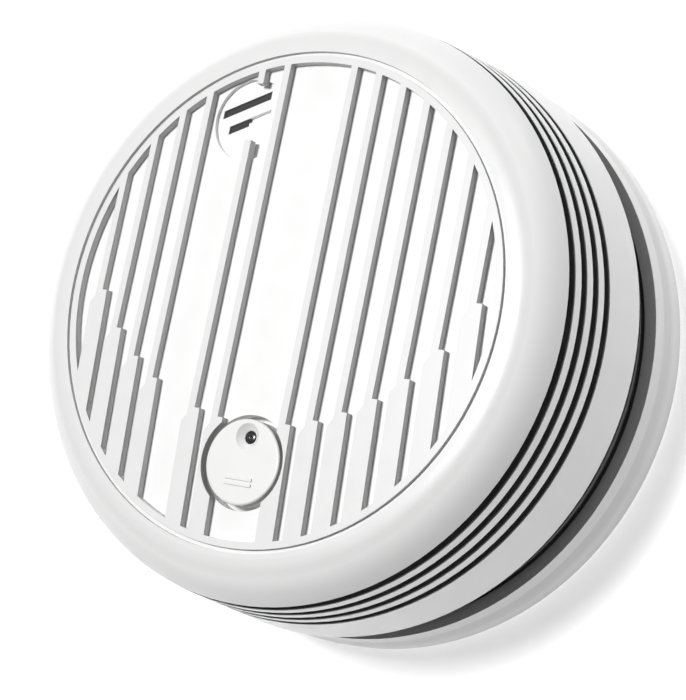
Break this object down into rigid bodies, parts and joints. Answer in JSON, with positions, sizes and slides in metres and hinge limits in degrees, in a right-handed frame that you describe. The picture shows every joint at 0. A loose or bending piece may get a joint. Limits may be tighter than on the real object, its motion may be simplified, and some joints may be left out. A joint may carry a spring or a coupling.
{
  "type": "heat detector",
  "caption": "Round ceiling heat detector: ribbed white cover with vent slots, sounder grille and test button, on a twist-off mounting base with a battery door in the back.",
  "frame": {"origin": "centre of the mounting base's flat back face", "axes": "+Z out of the ribbed face, away from the ceiling; +Y from the axis towards the sounder grille, with the test button on the -Y side; +X completes the right-handed set"},
  "size_m": [0.108, 0.108, 0.0464],
  "materials": {
    "white_shell": "satin moulded",
    "grey_shell": "satin moulded, grey",
    "white_button": "satin moulded",
    "door_plastic": "satin moulded",
    "dark_screen": "fine woven nylon",
    "black_plastic": "moulded",
    "switch_plastic": "moulded",
    "spring_steel": "drawn wire",
    "screw_steel": "zinc plated",
    "contact_metal": "nickel plated strip",
    "lamp_red": "clear tinted",
    "disc_brass": "rolled sheet",
    "foam_black": "foam",
    "cell_case": "plain printed jacket",
    "board_green": "solder mask",
    "sensor_bead": "dipped epoxy",
    "can_aluminium": "drawn can",
    "resistor_body": "lacquered",
    "coil_ferrite": "ferrite and copper wire",
    "label_paper": "plain matt label"
  },
  "bodies": {
    "base": {"mounting_base": "white_shell"},
    "head": {"rear_housing": "grey_shell", "front_cover": "white_shell", "button_retainer": "white_button", "button_spring": "spring_steel", "tact_switch": "switch_plastic", "status_led": "lamp_red", "sounder_housing": "black_plastic", "piezo_disc": "disc_brass", "sounder_contacts": "spring_steel", "battery": "cell_case", "battery_contacts": "contact_metal", "circuit_board": "board_green", "thermistor": "sensor_bead", "control_chip": "black_plastic", "capacitors": "can_aluminium", "resistors": "resistor_body", "step_up_coil": "coil_ferrite", "board_screws": "screw_steel", "cover_screws": "screw_steel", "insect_screen": "dark_screen", "blank_rating_label": "label_paper"},
    "button": {"test_button": "white_button", "switch_plunger": "switch_plastic"},
    "door": {"battery_door": "door_plastic", "door_pad": "foam_black"}
  },
  "joints": [
    {"name": "head_twist", "type": "hinge", "parent": "base", "child": "head", "pos_m": [0, 0, 0], "axis": [0, 0, 1], "range_deg": [0, 20]},
    {"name": "test_press", "type": "slide", "parent": "head", "child": "button", "axis": [0, 0, -1], "range_m": [0, 0.0012], "stiffness_N_per_m": 600, "springref_m": -0.0015, "deforming": ["button_spring"]},
    {"name": "door_swing", "type": "hinge", "parent": "head", "child": "door", "pos_m": [-0.0239, 0, 0.0037], "axis": [0, 1, 0], "range_deg": [0, 85]}
  ]
}
